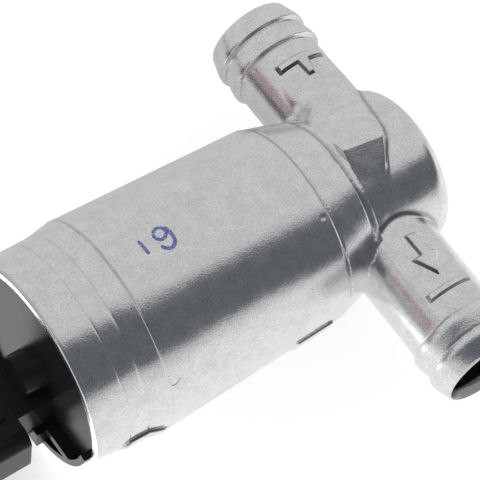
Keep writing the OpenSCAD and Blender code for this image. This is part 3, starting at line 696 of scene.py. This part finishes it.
# The finishes inside: for the named slots a name, the colour and its lighter grain, how metallic, the roughness
# and its spread, the scales of grain and mottling, and the strength and depth of the relief.
INNER_FINISHES = {
    ("steel",): (
        "Bright steel", (0.5, 0.51, 0.53), (0.66, 0.67, 0.69), 1.0, 0.28, 0.1, 1500, 300, 0.08, 0.00002),
    ("pole_steel", "core_steel"): (
        "Dark steel", (0.2, 0.2, 0.21), (0.3, 0.3, 0.31), 1.0, 0.4, 0.15, 1500, 300, 0.1, 0.00002),
    ("terminal_brass",): (
        "Tinned brass", (0.55, 0.46, 0.24), (0.72, 0.6, 0.33), 1.0, 0.25, 0.1, 1500, 400, 0.08, 0.00002),
    ("bronze",): (
        "Sintered bronze", (0.4, 0.25, 0.12), (0.55, 0.36, 0.18), 1.0, 0.45, 0.1, 2500, 400, 0.3, 0.00004),
    ("copper",): (
        "Enamelled copper", (0.5, 0.16, 0.05), (0.68, 0.26, 0.1), 1.0, 0.3, 0.1, 900, 200, 0.3, 0.0001),
    ("magnet",): (
        "Ferrite", (0.04, 0.04, 0.045), (0.08, 0.08, 0.085), 0.0, 0.7, 0.1, 2500, 400, 0.4, 0.00005),
    ("phenolic",): (
        "Moulded resin", (0.14, 0.05, 0.02), (0.2, 0.08, 0.035), 0.0, 0.5, 0.1, 2500, 400, 0.2, 0.00004),
    ("graphite",): (
        "Graphite", (0.02, 0.02, 0.022), (0.05, 0.05, 0.05), 0.0, 0.6, 0.1, 2500, 400, 0.3, 0.00004),
    ("seal_rubber",): (
        "Seal rubber", (0.012, 0.012, 0.012), (0.02, 0.02, 0.02), 0.0, 0.7, 0.1, 2500, 400, 0.3, 0.00004),
    ("turned_aluminium",): (
        "Turned aluminium", (0.55, 0.56, 0.58), (0.7, 0.71, 0.73), 1.0, 0.3, 0.1, 1500, 300, 0.1, 0.00002)}


# ---------------------------------------------------------------- the stage

# The camera: angles in degrees, lengths in metres, and the point it looks at as (X, Y) in the part's frame.
CAMERA_AZIMUTH, CAMERA_ELEVATION, CAMERA_ROLL = -44.61, 58.89, 10.97
CAMERA_TARGET, CAMERA_DISTANCE, CAMERA_LENS = (0.05408 - RIM_TO_ORIGIN * 0.001, 0.002315), 0.5174, 181.19
FLOOR_SIZE, FLOOR_SEEN = 2, 0.47
# The middle of the lighter patch that the part's underside reflects, as (X, Y).
FLOOR_PATCH = (-0.03, 0.005)
COOL_GREY, DARK_GREY, WARM_GREY = (0.126, 0.133, 0.148), (0.10, 0.095, 0.105), (0.40, 0.27, 0.265)
# Cards that only show as reflections on the part: name, colour, corners.
CARDS = (
    ("flag", COOL_GREY, [
        (-0.1, -0.06, 0.026), (0.03, -0.06, 0.0255), (0.059, -0.06, 0.0235), (0.069, -0.06, 0.018),
        (0.078, -0.06, 0.015), (0.104, -0.06, 0.017), (0.6, -0.06, 0.017), (0.6, -0.06, 0.19),
        (0.25, -0.06, 0.112), (0.128, -0.06, 0.097), (0.06, -0.06, 0.165), (0.0, -0.06, 0.225),
        (-0.1, -0.06, 0.32)]),
    ("side_flag", DARK_GREY, [
        (-0.35, 0.30, -0.02), (-0.35, 0.02, -0.02), (-0.35, 0.02, 0.09), (-0.35, 0.30, 0.04)]),
    ("floor_flag", DARK_GREY, [
        (-0.35, 0.30, -0.022), (-0.35, 0.02, -0.022), (-0.06, 0.04, -0.022), (-0.03, 0.30, -0.022)]),
    ("warm_card", WARM_GREY, [
        (-0.36, 0.06, 0.12), (-0.36, 0.30, 0.055), (-0.35, 0.30, 0.19), (-0.35, 0.06, 0.30)]))


def card(name, corners):
    """A flat card of the stage, from its corners in metres."""
    mesh = bpy.data.meshes.new(name)
    mesh.from_pydata(corners, [], [tuple(range(len(corners)))])
    thing = bpy.data.objects.new(name, mesh)
    bpy.context.scene.collection.objects.link(thing)
    return thing


def reflected_card(name, colour, corners):
    """A card of even colour that shows only as a reflection."""
    thing = card(name, corners)
    material = bpy.data.materials.new(name)
    material.use_nodes = True
    tree = material.node_tree
    tree.nodes.clear()
    out, glow = tree.nodes.new("ShaderNodeOutputMaterial"), tree.nodes.new("ShaderNodeEmission")
    glow.inputs["Color"].default_value = (*colour, 1)
    tree.links.new(glow.outputs[0], out.inputs["Surface"])
    thing.data.materials.append(material)
    thing.visible_camera = False
    thing.visible_diffuse = False
    thing.visible_shadow = False


def place_camera(scene):
    """A long lens looking down on the part, rolled a little."""
    azimuth, elevation, roll = (math.radians(v) for v in (CAMERA_AZIMUTH, CAMERA_ELEVATION, CAMERA_ROLL))
    back = Vector((math.sin(azimuth) * math.cos(elevation), -math.cos(azimuth) * math.cos(elevation),
                   math.sin(elevation)))
    level = Vector((math.cos(azimuth), math.sin(azimuth), 0))
    rise = back.cross(level)
    right = level * math.cos(roll) + rise * math.sin(roll)
    up = rise * math.cos(roll) - level * math.sin(roll)
    data = bpy.data.cameras.new("camera")
    data.sensor_width, data.lens = 36.0, CAMERA_LENS
    data.clip_start, data.clip_end = 0.01, 20
    camera = bpy.data.objects.new("camera", data)
    place = Matrix.Translation(Vector((*CAMERA_TARGET, 0)) + back * CAMERA_DISTANCE)
    camera.matrix_world = place @ Matrix((right, up, back)).transposed().to_4x4()
    scene.collection.objects.link(camera)
    scene.camera = camera


def build_floor(height):
    """A white floor; what the part reflects of it is darker to one side, with a lighter patch under the cap."""
    far = FLOOR_SIZE
    floor = card("floor", [(-far, -far, height), (far, -far, height), (far, far, height), (-far, far, height)])
    material = bpy.data.materials.new("floor paint")
    material.use_nodes = True
    tree = material.node_tree
    bsdf = tree.nodes["Principled BSDF"]
    bsdf.inputs["Base Color"].default_value = (0.93, 0.93, 0.93, 1)
    bsdf.inputs["Roughness"].default_value = 0.9
    bsdf.inputs["Specular IOR Level"].default_value = 0.0
    bsdf.inputs["Emission Color"].default_value = (1, 1, 1, 1)
    path, place = tree.nodes.new("ShaderNodeLightPath"), tree.nodes.new("ShaderNodeTexCoord")
    split, blend = tree.nodes.new("ShaderNodeSeparateXYZ"), tree.nodes.new("ShaderNodeMix")
    tree.links.new(place.outputs["Object"], split.inputs[0])
    side = compute(tree, "MULTIPLY", spread(tree, split.outputs["Y"], -0.12, -0.034, 0.26, 0.42),
                   spread(tree, split.outputs["Y"], -0.02, 0.04, 1.0, 0.08))
    away = compute(tree, "DISTANCE", place.outputs["Object"], (*FLOOR_PATCH, height),
                   kind="ShaderNodeVectorMath")
    glow = compute(tree, "ADD", side, spread(tree, away, 0.035, 0.05, 0.95, 0.0))
    tree.links.new(path.outputs["Is Camera Ray"], blend.inputs["Factor"])
    tree.links.new(glow, blend.inputs["A"])
    blend.inputs["B"].default_value = FLOOR_SEEN
    tree.links.new(blend.outputs["Result"], bsdf.inputs["Emission Strength"])
    floor.data.materials.append(material)


def build_room(scene, sky):
    """An even white room: fully white to the camera, dimmer as light."""
    world = bpy.data.worlds.new("room")
    scene.world = world
    world.use_nodes = True
    tree = world.node_tree
    tree.nodes.clear()
    out, blend = tree.nodes.new("ShaderNodeOutputWorld"), tree.nodes.new("ShaderNodeMixShader")
    path = tree.nodes.new("ShaderNodeLightPath")
    tree.links.new(path.outputs["Is Camera Ray"], blend.inputs[0])
    for socket, strength in ((blend.inputs[1], sky), (blend.inputs[2], 1.0)):
        light = tree.nodes.new("ShaderNodeBackground")
        light.inputs["Color"].default_value = (1, 1, 1, 1)
        light.inputs["Strength"].default_value = strength
        tree.links.new(light.outputs[0], socket)
    tree.links.new(blend.outputs[0], out.inputs["Surface"])


# ---------------------------------------------------------------- settings


class ValveFinish(bpy.types.PropertyGroup):
    """Colours of the casting, the cap and the ink."""

    cast_tone: bpy.props.FloatVectorProperty(
        name="Casting", description="Colour of the die-cast aluminium", subtype="COLOR",
        default=(0.795, 0.797, 0.805))
    cast_roughness: bpy.props.FloatProperty(
        name="Casting roughness", description="How matt the casting is", default=0.2, min=0.05, max=0.8)
    cap_tone: bpy.props.FloatVectorProperty(
        name="Cap", description="Colour of the moulded cap", subtype="COLOR", default=(0.012, 0.012, 0.014))
    ink_tone: bpy.props.FloatVectorProperty(
        name="Ink", description="Colour of the ink stamp", subtype="COLOR", default=(0.07, 0.11, 0.42))


class ValveShape(bpy.types.PropertyGroup):
    """Fineness of the visible shapes."""

    head_cell: bpy.props.FloatProperty(
        name="Head cell", description="Cell size of the head's smooth form, in millimetres", default=0.42,
        min=0.25, max=1.0)
    cap_edge: bpy.props.FloatProperty(
        name="Cap edge", description="Edge radius of the moulded cap", subtype="DISTANCE", unit="LENGTH",
        default=0.0002, min=0.00005, max=0.0004)


class ValveStudio(bpy.types.PropertyGroup):
    """The room and the floor."""

    floor_gap: bpy.props.FloatProperty(
        name="Floor gap", description="Distance of the floor below the part", subtype="DISTANCE", unit="LENGTH",
        default=0.003, min=0.0, max=0.1)
    sky: bpy.props.FloatProperty(
        name="Sky", description="Brightness of the room over the part", default=0.66, min=0.0, max=2.0)


# ---------------------------------------------------------------- operators


class VALVE_OT_studio(bpy.types.Operator):
    """Sets up the camera, the floor, the room and its cards."""

    bl_idname = "valve.studio"
    bl_label = "Studio"

    def execute(self, context):
        settings = context.scene.valve_studio
        place_camera(context.scene)
        context.scene.view_settings.view_transform = "Standard"
        build_floor(solid_box[0][2] - settings.floor_gap)
        for name, colour, corners in CARDS:
            reflected_card(name, colour, corners)
        build_room(context.scene, settings.sky)
        return {"FINISHED"}


class VALVE_OT_casting(bpy.types.Operator):
    """Builds the die-cast housing with its raised marks and its stamp."""

    bl_idname = "valve.casting"
    bl_label = "Casting"

    def execute(self, context):
        finish, shape = context.scene.valve_finish, context.scene.valve_shape
        metal = cast_metal(tuple(finish.cast_tone), finish.cast_roughness)
        pieces = [build_barrel(), build_head(shape.head_cell), *build_marks(),
                  build_spigot("far_spigot_end", FAR_X, FAR_REACH, FAR_CUT, 1),
                  build_spigot("near_spigot_end", NEAR_X, NEAR_REACH, NEAR_CUT, -1)]
        dressed = [(build_ink(), stamp_ink(tuple(finish.ink_tone))), *((piece, metal) for piece in pieces)]
        for piece, material in dressed:
            piece.data.materials.append(material)
            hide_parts("housing")
        return {"FINISHED"}


class VALVE_OT_cap(bpy.types.Operator):
    """Builds the moulded cap with rounded edges."""

    bl_idname = "valve.cap"
    bl_label = "Cap"

    def execute(self, context):
        finish, shape = context.scene.valve_finish, context.scene.valve_shape
        tone = tuple(finish.cap_tone)
        plastic = grained("Moulded plastic", tone, tuple(c * 1.5 for c in tone), 0.0, 0.24, 0.1, 3000, 500,
                          0.12, 0.00003)
        plastic.node_tree.nodes["Principled BSDF"].inputs["IOR"].default_value = PLASTIC_IOR
        mesh = frame["nodes"]["end_cap"].data.copy()
        piece = bpy.data.objects.new("cap_moulding", mesh)
        context.scene.collection.objects.link(piece)
        work = bmesh.new()
        work.from_mesh(mesh)
        bmesh.ops.remove_doubles(work, verts=work.verts, dist=1e-7)
        bmesh.ops.dissolve_limit(work, angle_limit=math.radians(1), verts=work.verts, edges=work.edges)
        work.to_mesh(mesh)
        work.free()
        edge = piece.modifiers.new("edge", "BEVEL")
        edge.width, edge.segments = shape.cap_edge, 2
        edge.limit_method, edge.angle_limit = "ANGLE", math.radians(35)
        edge.use_clamp_overlap = True
        edge.harden_normals = True
        bevelled = piece.evaluated_get(context.evaluated_depsgraph_get())
        piece.data = bpy.data.meshes.new_from_object(bevelled)
        piece.modifiers.clear()
        piece.data.materials.clear()
        piece.data.materials.append(plastic)
        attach(piece, "stator")
        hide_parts("end_cap")
        return {"FINISHED"}


class VALVE_OT_inside(bpy.types.Operator):
    """Gives the pieces inside the casting and the socket their finishes."""

    bl_idname = "valve.inside"
    bl_label = "Inside"

    def execute(self, context):
        finishes = {}
        for slots, values in INNER_FINISHES.items():
            finishes.update(dict.fromkeys(slots, grained(*values)))
        for part in frame["record"]["subparts"]:
            if part["material_slot"] in finishes:
                materials = frame["nodes"][part["node"]].data.materials
                materials.clear()
                materials.append(finishes[part["material_slot"]])
        return {"FINISHED"}


class VALVE_PT_panel(bpy.types.Panel):
    """Lists the settings and the operators."""

    bl_idname = "VALVE_PT_panel"
    bl_label = "Idle air valve"
    bl_space_type = "VIEW_3D"
    bl_region_type = "UI"
    bl_category = "Valve"

    def draw(self, context):
        for group in (context.scene.valve_shape, context.scene.valve_finish, context.scene.valve_studio):
            for key in group.__annotations__:
                self.layout.prop(group, key)
        for operator in OPERATORS:
            self.layout.operator(operator.bl_idname)


OPERATORS = (VALVE_OT_studio, VALVE_OT_casting, VALVE_OT_cap, VALVE_OT_inside)
CLASSES = (ValveFinish, ValveShape, ValveStudio, *OPERATORS, VALVE_PT_panel)


def register():
    """Adds the classes and their settings to Blender."""
    for item in CLASSES:
        bpy.utils.register_class(item)
    bpy.types.Scene.valve_finish = bpy.props.PointerProperty(type=ValveFinish)
    bpy.types.Scene.valve_shape = bpy.props.PointerProperty(type=ValveShape)
    bpy.types.Scene.valve_studio = bpy.props.PointerProperty(type=ValveStudio)


def unregister():
    """Takes the settings and the classes away again."""
    for name in ("valve_finish", "valve_shape", "valve_studio"):
        delattr(bpy.types.Scene, name)
    for item in reversed(CLASSES):
        bpy.utils.unregister_class(item)


def main():
    """Builds everything in order."""
    register()
    for run in (bpy.ops.valve.studio, bpy.ops.valve.casting, bpy.ops.valve.cap, bpy.ops.valve.inside):
        run()
    bpy.context.view_layer.update()


if __name__ == "__main__":
    main()
